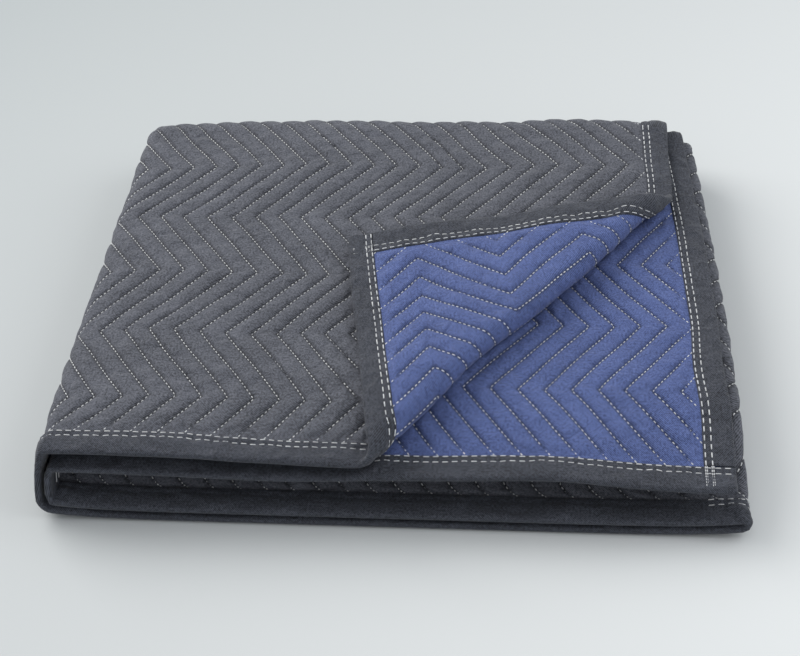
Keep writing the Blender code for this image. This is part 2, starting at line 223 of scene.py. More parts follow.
# Parts of the cloth that show, metres along its width or back from its front edge
MOUTH_DEPTH = 0.080
OUTER_MARGINS = (0.012, 0.014)
RIGHT_MARGIN = 0.020
INNER_MARGINS = (0.006, 0.010)
FLAP_WIDTH = 0.285
OPEN_DEPTH = 0.375
SHOWN_WIDTH = 0.36
OUTER_THREAD = 0.012
FLAP_THREAD = (0.29, 0.345)
UNDER_THREAD = (0.15, 0.36)

# Steps of the tapes' meshes
TAPE_END_LENGTH = 0.004
FRONT_TAPE_STEPS = (0.0005, 0.0032)
HIDDEN_TAPE_STEPS = (0.001, 0.006)
SIDE_TAPE_STEPS = (0.003, 0.0015, 0.005)

# Cloth, thread and floor colours, from dark to light
BLACK_COLORS = ((0.016, 0.018, 0.023), (0.172, 0.180, 0.216))
BLUE_COLORS = ((0.031, 0.044, 0.124), (0.136, 0.190, 0.440))
TAPE_COLORS = ((0.009, 0.010, 0.013), (0.092, 0.100, 0.126))
THREAD_COLORS = ((0.55, 0.56, 0.58), (0.85, 0.86, 0.87))
# The floor's dark colour is painted shade, behind at the left
FLOOR_COLORS = ((0.36, 0.39, 0.40), (0.93, 0.95, 0.955))
TWILL = 0.0008
WAVE_BANDS = 20.0
TWILL_RELIEF = 0.00035
# Share of the cloth's colour kept on the stitched lines: painted shade in the quilting's grooves
SEAM_SHADE = 0.34
PUCKER_RELIEF = 0.0034

# Floor, lights and camera
# Direction of the floor's painted shade, which darkens it behind at the left
FLOOR_SHADE_SLOPE = (1.1, -0.6, 0.0)
FLOOR_SIZE = 12.0
FLOOR_GAP = 0.0005
WORLD_COLOR = (0.90, 0.92, 0.94, 1.0)
WORLD_STRENGTH = 0.62
LIGHT_SIZE = 1.4
LIGHTS = (
    ("broad light", (-1.3, 0.7, 1.3), 27.0, (1.0, 0.99, 0.97)),
    ("fill light", (1.5, 0.1, 1.3), 11.0, (0.97, 0.99, 1.0)),
)
SENSOR_WIDTH = 36.0
CAMERA_FOCAL = 79.5
CAMERA_PLACE = (0.1380, -1.0852, 0.9317)
CAMERA_TURN = (0.8640, 0.0540, 0.0906)

# Step of the surface's slopes, and the noise's whole numbers
STEP = 1e-5
HASH_X = 374761393
HASH_Y = 668265263
HASH_SEED = 144269504
HASH_MIX = 1274126177
HASH_MASK = 0xFFFFFFFF
HASH_HALF = 2147483648.0


def ease(value):
    """Ease from 0 to 1."""
    share = np.clip(value, 0.0, 1.0)
    return share * share * (3.0 - 2.0 * share)


def value_noise(x, y, seed):
    """Smooth noise from -1 to 1 on a unit lattice, the same at every run."""
    column = np.floor(x).astype(np.int64)
    row = np.floor(y).astype(np.int64)
    across = ease(x - column)
    up = ease(y - row)

    def corner(i, j):
        mixed = (i * HASH_X + j * HASH_Y + seed * HASH_SEED) & HASH_MASK
        mixed = ((mixed ^ (mixed >> 13)) * HASH_MIX) & HASH_MASK
        return (mixed ^ (mixed >> 16)) / HASH_HALF - 1.0

    low = corner(column, row) * (1.0 - across) + corner(column + 1, row) * across
    high = corner(column, row + 1) * (1.0 - across) + corner(column + 1, row + 1) * across
    return low * (1.0 - up) + high * up


def plan_noise(x, y, form):
    """Noise over the plan, whose form is its sizes along x and y and its seed."""
    return value_noise(x / form[0], y / form[1], form[2])


def fold_table():
    """Fine table of the folds across the width: material place, x, level and direction."""
    rows = []
    stretches = (
        ("flat", TOP_EDGE_X, OUTER_TURN_X, 3.0, 0.0, 0.0),
        ("turn", OUTER_TURN_X, 1.5, 1.5, 1.0, -1.0),
        ("flat", OUTER_TURN_X, RIGHT_TURN_X, 0.0, 0.0, 0.0),
        ("turn", RIGHT_TURN_X, 0.5, 0.5, -1.0, 1.0),
        ("flat", RIGHT_TURN_X, INNER_TURN_X, 1.0, 0.0, 0.0),
        ("turn", INNER_TURN_X, 1.5, 0.5, -1.0, -1.0),
        ("flat", INNER_TURN_X, UNDER_EDGE_X, 2.0, 0.0, 0.0),
    )
    starts = []
    place = 0.0
    for kind, first, second, third, down, side in stretches:
        starts.append(place)
        if kind == "flat":
            toward = math.copysign(1.0, second - first)
            for share in FLAT_SHARES:
                x = first + share * (second - first)
                rows.append((place + share * abs(second - first), x, third, toward, 0.0))
            place += abs(second - first)
        else:
            radius = third * LEVEL_PITCH
            for index in range(1, TURN_STEPS):
                angle = math.pi * index / TURN_STEPS
                squash = TURN_SQUASH if third > 1.0 else 1.0
                x = first + side * squash * radius * math.sin(angle)
                level = second + down * third * math.cos(angle)
                toward = side * squash * math.cos(angle)
                rows.append((place + radius * angle, x, level, toward, -down * math.sin(angle)))
            place += math.pi * radius
    return np.array(rows), starts, place


FOLDS, STARTS, WHOLE_WIDTH = fold_table()
TOP_END, UNDER_START, RIGHT_FOLD, LOWER_BLACK, INNER_FOLD, UNDER_BLUE = STARTS[1:]


def fold_start():
    """Start, direction, outward normal and length of the turned-back corner's fold line."""
    start = np.array((FOLD_FRONT_X, FRONT_Y))
    end = np.array((TOP_EDGE_X, FRONT_Y + FOLD_RIGHT_RUN))
    length = float(np.linalg.norm(end - start))
    along = (end - start) / length
    return start, along, np.array((along[1], -along[0])), length


LINE_START, LINE_ALONG, LINE_OUT, LINE_LENGTH = fold_start()


def turned_back(x, y):
    """Plan place and rise of points of the top level, rolled over past the fold line."""
    along = (x - LINE_START[0]) * LINE_ALONG[0] + (y - LINE_START[1]) * LINE_ALONG[1]
    beyond = (x - LINE_START[0]) * LINE_OUT[0] + (y - LINE_START[1]) * LINE_OUT[1]
    share = np.clip(along / LINE_LENGTH, 0.0, 1.0)
    radius = CURL_RADIUS_FRONT + share * (CURL_RADIUS_RIGHT - CURL_RADIUS_FRONT)
    angle = np.clip(beyond / radius, 0.0, math.pi)
    past = np.maximum(beyond - math.pi * radius, 0.0)
    slide = FLAP_SHEAR * past * past / (past + FLAP_SHEAR_START)
    out = np.where(beyond < 0.0, beyond, radius * np.sin(angle) - past)
    new_x = LINE_START[0] + (along + slide) * LINE_ALONG[0] + out * LINE_OUT[0]
    new_y = LINE_START[1] + (along + slide) * LINE_ALONG[1] + out * LINE_OUT[1]
    settle = ease(past / FLAP_SETTLE)
    rise = radius * (1.0 - np.cos(angle))
    rise = np.where(past > 0.0, 2.0 * radius + settle * (FLAP_REST - 2.0 * radius), rise)
    middle = np.sin(math.pi * np.clip((along + slide) / LINE_LENGTH, 0.0, 1.0) ** FLAP_BILLOW_SKEW)
    rise = rise + FLAP_BILLOW * settle * middle * (1.0 - FLAP_BILLOW_FADE * settle)
    flat = beyond <= 0.0
    return np.where(flat, x, new_x), np.where(flat, y, new_y), np.where(flat, 0.0, rise)


def packet_path(run):
    """Place and normal, in the plane of Y and Z, of the innermost level."""
    angle = np.clip((run - UPPER_RUN) / REAR_RADIUS, 0.0, math.pi)
    forward = np.maximum(run - UPPER_RUN - TURN_RUN, 0.0)
    normal_y = np.sin(angle)
    normal_z = np.cos(angle)
    y = FRONT_Y + np.minimum(run, UPPER_RUN) + REAR_RADIUS * normal_y - forward
    return y, MIDDLE_Z + REAR_RADIUS * normal_z, normal_y, normal_z


def front_sag(x, y):
    """How far the open front edges hang below their level."""
    near = ease(1.0 - (y - FRONT_Y) / FRONT_SAG_REACH)
    across = ease((x - OUTER_TURN_X) / (UNDER_EDGE_X - OUTER_TURN_X))
    return near * (FRONT_SAG_LEFT + across * (FRONT_SAG_RIGHT - FRONT_SAG_LEFT))


def under_level_edge(x, y, level):
    """How far the under level's front edge hangs below, or stands above, the rest of its level."""
    sag = UNDER_SAG * ease(1.0 - (y - FRONT_Y) / UNDER_SAG_REACH)
    sag = sag * (1.0 - ease((x - UNDER_SAG_X) / UNDER_SAG_WIDTH))
    hump = EDGE_HUMP * ease(1.0 - (y - FRONT_Y) / FRONT_SAG_REACH)
    hump = hump * np.exp(-(((x - EDGE_HUMP_X) / EDGE_HUMP_WIDTH) ** 2))
    return (sag - hump) * ease(level - 1.0) * ease(LEVELS - level)


def settled(x, y, z, level):
    """Plan place after the stack has settled: narrower behind, slanted and rounded at the rear left."""
    back = (y - FRONT_Y) / DEPTH
    wide = (1.0 - REAR_TAPER * back) * (1.0 + FLOOR_FLARE * (1.0 - z / HEIGHT))
    right = ease(x / RIGHT_TURN_X) * ease(LEVELS - level)
    left = ease(-x / RIGHT_TURN_X)
    kept = np.clip(back, 0.0, 1.0)
    new_x = x * wide - RIGHT_TAPER * right * kept ** RIGHT_TAPER_POWER + LEFT_TUCK * left * (1.0 - kept)
    corner = np.clip((-x - REAR_ROUND_START) / REAR_ROUND_REACH, 0.0, 1.0) ** 2
    slant = REAR_SLANT * (RIGHT_TURN_X - x) / (2.0 * RIGHT_TURN_X) + REAR_ROUND * corner
    return new_x + CENTRE_SHIFT_X, y - slant * kept


def middle_surface(x, level, run):
    """Places in space of the middle of the cloth."""
    upper_y, upper_z, normal_y, normal_z = packet_path(run)
    depth = level * LEVEL_PITCH
    y = upper_y + depth * normal_y
    z = upper_z + depth * normal_z
    end = DROOP_FLAT + DROOP_LENGTH
    share = np.clip((run - DROOP_FLAT) / DROOP_LENGTH, 0.0, 1.0)
    floor_z = HALF + CORNER_LIFT * np.abs(x / RIGHT_TURN_X) ** CORNER_LIFT_POWER
    climb = MIDDLE_Z + REAR_RADIUS - floor_z
    slope = climb * 6.0 * share * (1.0 - share) / DROOP_LENGTH
    tilt = np.hypot(1.0, slope)
    low_y = upper_y - FRONT_STEP * (1.0 - ease(run / end)) - depth * slope / tilt
    low_z = floor_z + climb * ease(share) + depth / tilt
    near = run < end
    low_y = np.where(near, low_y, y)
    low_z = np.where(near, low_z, z)
    droop = 1.0 - ease(level - 1.0)
    y = y + droop * (low_y - y)
    z = z + droop * (low_z - z)
    on_top = (level > LEVELS - LEVEL_MARGIN) & (run < UPPER_RUN)
    top_x, top_y, rise = turned_back(x, y)
    x = np.where(on_top, top_x, x)
    y = np.where(on_top, top_y, y)
    z = z + np.where(on_top, rise, 0.0)
    sag = front_sag(x, y) * (1.0 - droop + droop * ease(share)) + under_level_edge(x, y, level)
    z = z - np.where(run < UPPER_RUN, sag, 0.0)
    back = (y - FRONT_Y) / DEPTH
    wave = np.sin(SAG_WAVES_X * math.pi * x / RIGHT_TURN_X + SAG_PHASE) * np.sin(SAG_WAVES_Y * math.pi * back)
    loose = ease((z - MIDDLE_Z) / MIDDLE_Z)
    crumple = plan_noise(x, y, CRUMPLE_BROAD) + CRUMPLE_FINE_SHARE * plan_noise(x, y, CRUMPLE_FINE)
    z = z + loose * (SAG * wave + CRUMPLE * crumple)
    new_x, new_y = settled(x, y, z, level)
    new_x = new_x + WANDER * loose * plan_noise(x, y, WANDER_ALONG_X)
    new_y = new_y + WANDER * loose * plan_noise(x, y, WANDER_ALONG_Y)
    return np.stack((new_x, new_y, z), axis=-1)


def middle_and_normal(width, run):
    """Middle of the cloth at material places, and the side of its black face."""
    x = np.interp(width, FOLDS[:, 0], FOLDS[:, 1])
    level = np.interp(width, FOLDS[:, 0], FOLDS[:, 2])
    step_x = np.interp(width, FOLDS[:, 0], FOLDS[:, 3]) * STEP
    step_level = np.interp(width, FOLDS[:, 0], FOLDS[:, 4]) * STEP / LEVEL_PITCH
    here = middle_surface(x, level, run)
    ahead = middle_surface(x + step_x, level + step_level, run)
    behind = middle_surface(x - step_x, level - step_level, run)
    back = middle_surface(x, level, run + STEP)
    front = middle_surface(x, level, run - STEP)
    normal = np.cross(back - front, ahead - behind)
    normal /= np.linalg.norm(normal, axis=-1, keepdims=True)
    return here, normal


def cloth_length(width, run):
    """Length of cloth from the front edge, longer round the rear turn on the outer levels."""
    level = np.interp(width, FOLDS[:, 0], FOLDS[:, 2])
    angle = np.clip((run - UPPER_RUN) / REAR_RADIUS, 0.0, math.pi)
    return run + level * LEVEL_PITCH * angle


def run_at(width, length):
    """Run of a place that is a length of cloth from the front edge."""
    level = np.interp(width, FOLDS[:, 0], FOLDS[:, 2])
    reach = level * LEVEL_PITCH
    turned = np.clip((length - UPPER_RUN) / (REAR_RADIUS + reach), 0.0, math.pi)
    return length - reach * turned


def row_shift(width):
    """How far back the zigzag's rows lie on each level, since the folds aren't quite square."""
    low = (UNDER_START + ROW_SHIFT_MARGIN, RIGHT_FOLD - ROW_SHIFT_MARGIN)
    under = (UNDER_BLUE, UNDER_BLUE + UNDER_SHIFT_REACH)
    rows = (0.0, LEVEL_ROW_SHIFT, LEVEL_ROW_SHIFT, UNDER_ROW_SHIFT)
    return ROW_STEP * np.interp(width, low + under, rows)


def line_shift(width):
    """How far the zigzag's lines lie along the width on the under level."""
    places = (UNDER_BLUE, UNDER_BLUE + UNDER_SHIFT_REACH)
    return COLUMN_STEP * np.interp(width, places, (0.0, UNDER_LINE_SHIFT))


def row_cycle(width, run):
    """How far a place is through the zigzag's cycle, from 0 to 1."""
    cycle = (cloth_length(width, run) - row_shift(width) - FIRST_ROW) / (2.0 * ROW_PITCH)
    return cycle - np.floor(cycle)


def zigzag(width, run):
    """Sideways place of the quilting lines: 0 at one row of corners and 1 at the next."""
    return 1.0 - np.abs(2.0 * row_cycle(width, run) - 1.0)


def channel_share(width, run):
    """How far across its channel a place lies, and the channel's number."""
    line = (width - line_shift(width) - FIRST_LINE - LINE_SWING * zigzag(width, run)) / LINE_PITCH
    number = np.floor(line)
    return line - number, number


def bound_share(width, run):
    """0 inside the binding and 1 where the quilt is full."""
    near = np.minimum(np.minimum(width, WHOLE_WIDTH - width), np.minimum(run, WHOLE_RUN - run))
    return ease((near - TAPE_WIDTH + PUFF_START) / PUFF_LENGTH)


def roll_share(width, run):
    """1 where the cloth is drawn tight, on the turned-back corner's roll and the side turns."""
    x = np.interp(width, FOLDS[:, 0], FOLDS[:, 1])
    level = np.interp(width, FOLDS[:, 0], FOLDS[:, 2])
    y = FRONT_Y + run
    beyond = (x - LINE_START[0]) * LINE_OUT[0] + (y - LINE_START[1]) * LINE_OUT[1]
    middle = 0.5 * math.pi * CURL_RADIUS_RIGHT
    near = ease(1.0 - np.abs(beyond - middle) / (ROLL_REACH * middle))
    roll = np.where((level > LEVELS - LEVEL_MARGIN) & (run < UPPER_RUN), near, 0.0)
    turn = 0.0
    for start, end in ((TOP_END, UNDER_START), (RIGHT_FOLD, LOWER_BLACK)):
        away = np.maximum(start - width, width - end)
        turn = turn + TURN_TIGHTNESS * ease(1.0 - away / TURN_REACH)
    return np.maximum(roll, turn)


def channel_crown(share):
    """Fullness of a channel: 0 on its stitched lines and 1 along its middle."""
    return np.maximum(np.sin(math.pi * share), CREASE_FLOOR) ** CHANNEL_FULLNESS


def channel_noise(along, number, share, rising, form):
    """Noise along a channel, unlike in each channel and on each side of a corner."""
    size, spread, seed = form
    place = number * spread[0] + share * spread[1] + rising * spread[2]
    return value_noise(along / size, place, seed)


def puff(width, run):
    """Height of a quilted face above the middle of the cloth."""
    share, number = channel_share(width, run)
    crown = channel_crown(share)
    crown = crown * (1.0 - ROLL_TIGHTNESS * roll_share(width, run))
    full = CHANNEL_LOW + (CHANNEL_HIGH - CHANNEL_LOW) * crown
    turn = zigzag(width, run)
    away_from_corner = ease(CORNER_SHARPNESS * np.minimum(turn, 1.0 - turn))
    rising = np.where(row_cycle(width, run) < 0.5, 1.0, -1.0)
    reach = math.hypot(LINE_SWING, ROW_PITCH)
    along = (rising * width * LINE_SWING + cloth_length(width, run) * ROW_PITCH) / reach
    broad = channel_noise(along, number, share, rising, PUCKER_BROAD)
    fine = channel_noise(along, number, share, rising, PUCKER_FINE)
    pucker = broad + PUCKER_FINE_SHARE * fine
    pucker = pucker * crown * (CORNER_PUCKER + (1.0 - CORNER_PUCKER) * away_from_corner)
    height = full + PUCKER * pucker
    return CLOTH_IN_TAPE + bound_share(width, run) * (height - CLOTH_IN_TAPE)


def cloth_points(width, run, side):
    """Places on a quilted face, on its black side (1) or its blue side (-1)."""
    here, normal = middle_and_normal(width, run)
    offset = side * puff(width, run)
    return here + offset[..., None] * normal, normal * side


def stations(stretches):
    """Places along a line from rows of (start, end, greatest step)."""
    places = []
    for start, end, step in stretches:
        count = max(1, int(math.ceil((end - start) / step)))
        places += [start + (end - start) * index / count for index in range(count)]
    return np.array(places + [stretches[-1][1]])


def quilt_columns():
    """Places across the cloth that every quilting line meets exactly."""
    first = FIRST_LINE - COLUMN_STEP * math.floor((FIRST_LINE - EDGE_INSET) / COLUMN_STEP)
    inner = np.arange(first, WHOLE_WIDTH - EDGE_INSET - EDGE_SHARE * COLUMN_STEP, COLUMN_STEP)
    inner = inner[inner > EDGE_INSET + EDGE_SHARE * COLUMN_STEP]
    return np.concatenate(((EDGE_INSET,), inner, (WHOLE_WIDTH - EDGE_INSET,)))


def quilt_rows():
    """Places from front to back that hold every corner of the quilting on the top level."""
    end = WHOLE_RUN - EDGE_INSET
    whole = cloth_length(0.0, end)
    first = FIRST_ROW - ROW_STEP * math.floor((FIRST_ROW - EDGE_INSET) / ROW_STEP)
    inner = np.arange(first, whole - EDGE_SHARE * ROW_STEP, ROW_STEP)
    inner = run_at(0.0, inner[inner > EDGE_INSET + EDGE_SHARE * ROW_STEP])
    return np.concatenate(((EDGE_INSET,), inner, (end,)))


def zone_places(places, stretch, stride):
    """Every stride-th index of the places inside a stretch, with both its ends."""
    low = int(np.argmin(np.abs(places - stretch[0])))
    high = int(np.argmin(np.abs(places - stretch[1])))
    chosen = list(range(low, high, stride))
    return np.array(chosen + [high])


def add_mesh(name, points, faces, uv=None, crown=None):
    """Mesh object from arrays, smooth shaded, with material places as its UVs."""
    mesh = bpy.data.meshes.new(name)
    faces = np.asarray(faces, dtype=np.int32)
    corners = faces.shape[1]
    mesh.vertices.add(len(points))
    mesh.vertices.foreach_set("co", np.asarray(points, dtype=np.float32).ravel())
    mesh.loops.add(faces.size)
    mesh.loops.foreach_set("vertex_index", faces.ravel())
    mesh.polygons.add(len(faces))
    mesh.polygons.foreach_set("loop_start", np.arange(0, faces.size, corners, dtype=np.int32))
    mesh.polygons.foreach_set("use_smooth", np.ones(len(faces), dtype=bool))
    if uv is not None:
        layer = mesh.uv_layers.new(name="cloth")
        layer.data.foreach_set("uv", np.asarray(uv, dtype=np.float32)[faces.ravel()].ravel())
    if crown is not None:
        layer = mesh.attributes.new("crown", "FLOAT", "POINT")
        layer.data.foreach_set("value", np.asarray(crown, dtype=np.float32).ravel())
    mesh.update(calc_edges=True)
    mesh.validate()
    obj = bpy.data.objects.new(name, mesh)
    bpy.context.scene.collection.objects.link(obj)
    return obj


def tube_faces(rows, columns):
    """Quads of a tube whose points run round its section first."""
    row, column = np.meshgrid(np.arange(rows - 1), np.arange(columns), indexing="ij")
    after = (column + 1) % columns
    here = row * columns
    ahead = here + columns
    quads = (here + column, here + after, ahead + after, ahead + column)
    return np.stack(quads, axis=-1).reshape(-1, 4)


def make_face(name, side, zones):
    """One quilted cloth face, of triangles that follow the quilting, finer where it shows."""
    widths = quilt_columns()
    runs = quilt_rows()
    faces = []
    for across, back, column_stride, row_stride in zones:
        columns = zone_places(widths, across, column_stride)
        rows = zone_places(runs, back, row_stride)
        near, left = np.meshgrid(rows[:-1], columns[:-1], indexing="ij")
        far, right = np.meshgrid(rows[1:], columns[1:], indexing="ij")
        faces.append(np.stack((near, far, left, right), axis=-1).reshape(-1, 4))
    near, far, left, right = np.concatenate(faces).T
    count = len(widths)
    used, index = np.unique(
        np.stack((near * count + left, near * count + right, far * count + right, far * count + left)),
        return_inverse=True,
    )
    front_left, front_right, back_right, back_left = index.reshape(4, -1)
    width = widths[used % count]
    run = runs[used // count]
    points, _ = cloth_points(width, run, side)
    share, _ = channel_share(width, run)
    # Crown of the channels, kept as an attribute that the cloth's painted shade along the stitched grooves
    # reads
    crown = 1.0 - bound_share(width, run) * (1.0 - channel_crown(share))
    rising = np.abs(crown[front_left] - crown[back_right]) < np.abs(crown[front_right] - crown[back_left])
    first = np.where(rising, front_left, front_right)
    second = np.where(rising, front_right, back_right)
    third = np.where(rising, back_right, back_left)
    fourth = np.where(rising, back_left, front_left)
    faces = np.concatenate((np.stack((first, second, third), -1), np.stack((first, third, fourth), -1)))
    if side > 0.0:
        faces = faces[:, ::-1]
    uv = np.stack((width, cloth_length(width, run)), axis=-1)
    return add_mesh(name, points, faces, uv, crown)


def tape_profile(distance):
    """Height of the binding tape's outside above the middle of the cloth, by distance in."""
    nose = np.clip(distance / TAPE_HALF, 0.0, 1.0)
    height = TAPE_HALF * np.sqrt(np.clip(nose * (2.0 - nose), 0.0, 1.0))
    for row in TAPE_ROWS:
        height = height - TAPE_GROOVE * np.exp(-(((distance - row) / TAPE_GROOVE_WIDTH) ** 2))
    crown = ease((distance - TAPE_CROWN_START) / TAPE_CROWN_REACH)
    crown = crown * ease((TAPE_ROWS[1] - distance) / TAPE_CROWN_REACH)
    height = height + TAPE_CROWN * crown
    fold_in = ease((distance - TAPE_WIDTH + TAPE_EDGE_REACH) / TAPE_EDGE_REACH)
    return height - TAPE_EDGE_DEPTH * fold_in


def slanted_noise(along, distance, form):
    """Noise over a tape that leans as it crosses it."""
    size, slant, reach, seed = form
    return value_noise(along / size + distance / slant, distance / reach, seed)


def tape_wrinkle(along, distance):
    """Small puckers across the tape, drawn in by its two rows of stitching."""
    fine = slanted_noise(along, distance, WRINKLE_FINE)
    broad = slanted_noise(along, distance, WRINKLE_BROAD)
    reach = ease(distance / WRINKLE_START) * ease((TAPE_WIDTH - distance) / WRINKLE_END)
    wrinkle = WRINKLE_FINE_SHARE * fine + WRINKLE_BROAD_SHARE * broad
    return reach * np.maximum(TAPE_WRINKLE * wrinkle, -TAPE_DIP)


def tape_section():
    """The tape's folded section as distance in, side and depth under its outside."""
    outside = (TAPE_WIDTH, 0.0217, 0.0212, 0.0206, 0.0200, 0.0183, 0.0167, 0.0160, 0.0153, 0.0130, 0.0100)
    outside += (0.0070, 0.0045, 0.0026, 0.0014, 0.0006, 0.00015)
    inside = (TAPE_WIDTH, 0.0150, 0.0080, 0.0030)
    rows = [(distance, 1.0, 0.0) for distance in outside]
    rows += [(0.0, 0.0, 0.0)]
    rows += [(distance, -1.0, 0.0) for distance in reversed(outside)]
    rows += [(distance, -1.0, TAPE_THICKNESS) for distance in inside]
    rows += [(distance, 1.0, TAPE_THICKNESS) for distance in reversed(inside)]
    return np.array(rows)


def tape_place(edge, along, distance):
    """Material place of a point of a tape, by the edge that it binds."""
    if edge == "front":
        return along, distance
    if edge == "end":
        return along, WHOLE_RUN - distance
    if edge == "top_side":
        return distance, along
    return WHOLE_WIDTH - distance, along


def tape_points(edge, along, distance, side, under):
    """Places on the folded tape."""
    width, run = tape_place(edge, along, distance)
    here, normal = middle_and_normal(width, run)
    reach = WHOLE_WIDTH if edge in ("front", "end") else WHOLE_RUN
    to_end = np.minimum(along, reach - along)
    closing = np.sqrt(np.clip(to_end / TAPE_CLOSING, 0.0, 1.0)) if edge in ("front", "end") else 1.0
    height = tape_profile(distance) + tape_wrinkle(along + TAPE_SIDE_SHIFT * side, distance)
    height = np.maximum(height * closing - under, 0.0)
    return here + (side * height)[..., None] * normal, normal


def make_tape(name, edge, places):
    """One length of binding tape, folded over its edge of the cloth."""
    section = tape_section()
    along, distance = np.meshgrid(places, section[:, 0], indexing="ij")
    side = np.broadcast_to(section[:, 1], along.shape)
    under = np.broadcast_to(section[:, 2], along.shape)
    points, _ = tape_points(edge, along, distance, side, under)
    faces = tube_faces(len(places), len(section))
    height = section[:, 1] * (tape_profile(section[:, 0]) - section[:, 2])
    steps = np.hypot(np.diff(section[:, 0]), np.diff(height))
    girth = np.concatenate(((0.0,), np.cumsum(steps)))
    uv = np.stack((along, np.broadcast_to(girth, along.shape)), axis=-1).reshape(-1, 2)
    obj = add_mesh(name, points.reshape(-1, 3), faces, uv)
    close_and_orient(obj)
    return obj


def close_and_orient(obj):
    """Cap the open ends of a mesh and turn its faces outwards."""
    bm = bmesh.new()
    bm.from_mesh(obj.data)
    edges = [edge for edge in bm.edges if edge.is_boundary]
    bmesh.ops.holes_fill(bm, edges=edges, sides=0)
    bmesh.ops.recalc_face_normals(bm, faces=bm.faces[:])
    bm.to_mesh(obj.data)
    bm.free()


def thread_mesh(name, starts, ends, normals, radius, middles):
    """Stitches as slim pointed beads from start to end, their tips sunk in the cloth."""
    along = ends - starts
    across = np.cross(along, normals)
    across /= np.linalg.norm(across, axis=-1, keepdims=True)
    sink = normals * (-BEAD_SINK * radius)
    rings = []
    for share in middles:
        centre = starts + share * along + normals * (BEAD_RISE * radius)
        ring = (across, normals, -across, -normals)
        rings += [centre + radius * way for way in ring]
    points = np.stack([starts + sink] + rings + [ends + sink], axis=1)
    per = points.shape[1]
    faces = []
    for turn in range(BEAD_SIDES):
        after = (turn + 1) % BEAD_SIDES
        faces.append((0, 1 + after, 1 + turn))
        for ring in range(len(middles) - 1):
            low = 1 + BEAD_SIDES * ring
            high = low + BEAD_SIDES
            faces.append((low + turn, low + after, high + after))
            faces.append((low + turn, high + after, high + turn))
        last = 1 + BEAD_SIDES * (len(middles) - 1)
        faces.append((last + turn, last + after, per - 1))
    faces = np.array(faces)
    count = len(starts)
    every = (faces[None, :, :] + per * np.arange(count)[:, None, None]).reshape(-1, 3)
    return add_mesh(name, points.reshape(-1, 3), every)


def quilting_stitches(side, windows):
    """Starts, ends and normals of the quilting stitches inside windows of material places."""
    step = STITCH_PITCH / math.hypot(1.0, LINE_SWING / ROW_PITCH)
    length = STITCH_LENGTH / math.hypot(1.0, LINE_SWING / ROW_PITCH)
    lines = np.arange(-LINES_BEFORE, int(WHOLE_WIDTH / LINE_PITCH) + 2)
    lengths = np.arange(TAPE_WIDTH, cloth_length(0.0, WHOLE_RUN) - TAPE_WIDTH, step)
    line, near = np.meshgrid(lines, lengths, indexing="ij")
    near = (near + STITCH_STAGGER * step * np.sin(line * STITCH_STAGGER_TURN)).ravel()
    base = FIRST_LINE + line.ravel() * LINE_PITCH

    def material_place(place):
        width = base + 0.5 * LINE_SWING
        for _ in range(STITCH_SOLVES):
            run = run_at(width, place)
            width = base + line_shift(width) + LINE_SWING * zigzag(width, run)
        return width, run_at(width, place)

    first, run = material_place(near)
    second, far_run = material_place(near + length)
    keep = np.zeros(len(run), dtype=bool)
    for left, right, front, back in windows:
        keep |= (first > left) & (first < right) & (run > front) & (run < back)
    keep &= (first > TAPE_WIDTH) & (first < WHOLE_WIDTH - TAPE_WIDTH)
    keep &= (run < WHOLE_RUN - TAPE_WIDTH) & (np.abs(second - first) < STITCH_JUMP)
    starts, normals = cloth_points(first[keep], run[keep], side)
    ends, _ = cloth_points(second[keep], far_run[keep], side)
    return starts, ends, normals


def tape_stitches(edge, side, row, low, high, pitch, length):
    """Starts, ends and normals of one row of stitches on a tape."""
    along = np.arange(low, high, pitch)
    if edge == "front":
        plain = (along > UNDER_START) & (along < RIGHT_FOLD - PLAIN_MARGIN)
        plain |= (along > LOWER_BLACK + PLAIN_MARGIN) & (along < INNER_FOLD)
        along = along[~plain]
    distance = np.full(len(along), row)
    flat = np.zeros(len(along))
    starts, normals = tape_points(edge, along, distance, flat + side, flat)
    ends, _ = tape_points(edge, along + length, distance, flat + side, flat)
    return starts, ends, normals * side


def all_tape_stitches():
    """Every row of stitches on the four tapes, with dense tacks where the rows cross."""
    rows = []
    for side in (1.0, -1.0):
        for row in TAPE_ROWS:
            for edge in ("front", "end"):
                ends = (TAPE_ROW_START, WHOLE_WIDTH - TAPE_ROW_END)
                rows.append((edge, side, row, *ends, TAPE_STITCH_PITCH, TAPE_STITCH_LENGTH))
            for edge in ("top_side", "under_side"):
                ends = (TAPE_WIDTH, WHOLE_RUN - TAPE_WIDTH)
                rows.append((edge, side, row, *ends, TAPE_STITCH_PITCH, TAPE_STITCH_LENGTH))
                for shift in (-TACK_SHIFT, TACK_SHIFT):
                    ends = (TACK_START, TAPE_WIDTH - TACK_END)
                    rows.append((edge, side, row + shift, *ends, TACK_PITCH, TACK_LENGTH))
    made = [tape_stitches(*row) for row in rows]
    return [np.concatenate(parts) for parts in zip(*made)]


def node_maker(material):
    """Short way to add nodes and links to a material."""
    tree = material.node_tree

    def add(kind, **settings):
        node = tree.nodes.new(kind)
        for key, value in settings.items():
            if key in node.inputs:
                node.inputs[key].default_value = value
            else:
                setattr(node, key, value)
        return node

    def link(start, output, end, entry):
        tree.links.new(start.outputs[output], end.inputs[entry])

    return add, link


